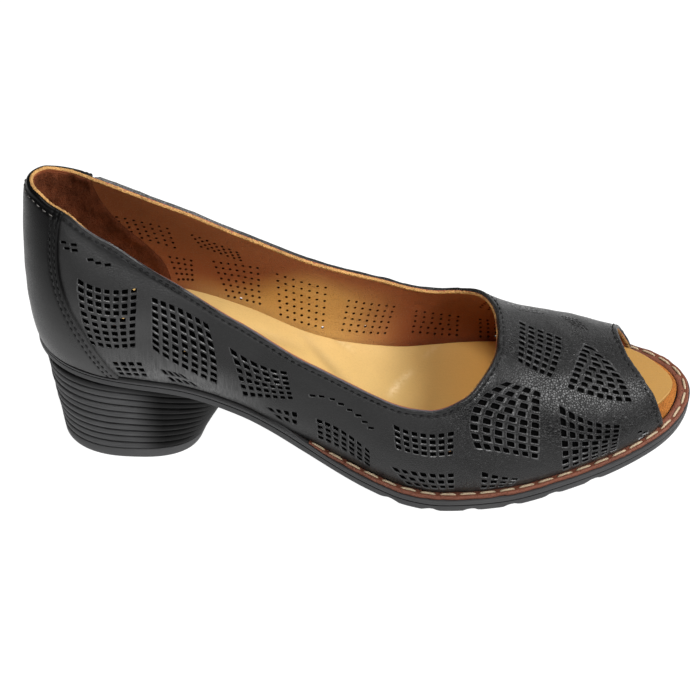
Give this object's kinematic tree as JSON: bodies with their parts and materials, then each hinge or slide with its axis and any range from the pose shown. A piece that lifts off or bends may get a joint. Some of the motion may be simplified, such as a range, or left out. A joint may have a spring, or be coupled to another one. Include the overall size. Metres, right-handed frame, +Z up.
{
  "type": "block heel shoe",
  "caption": "Peep-toe court shoe for the right foot: perforated leather upper on a welted rubber sole with a grooved block heel.",
  "frame": {"origin": "on the floor, under the middle of the heel's base", "axes": "+X towards the toe, +Z up, -Y towards the outer (lateral) side of the right foot"},
  "size_m": [0.2453, 0.0836, 0.1191],
  "materials": {
    "upper_leather": "semi-matt grained black",
    "counter_leather": "smooth black",
    "sock_leather": "smooth tan",
    "board": "matt brown",
    "welt_leather": "matt red-brown, cream stitched",
    "sole_rubber": "matt black",
    "heel_block": "satin black, grooved",
    "top_lift_rubber": "matt black"
  },
  "bodies": {
    "root": {"upper": "upper_leather", "counter": "counter_leather", "insole": "sock_leather", "midsole": "board", "welt": "welt_leather", "outsole": "sole_rubber", "heel": "heel_block", "top_lift": "top_lift_rubber"}
  },
  "joints": []
}
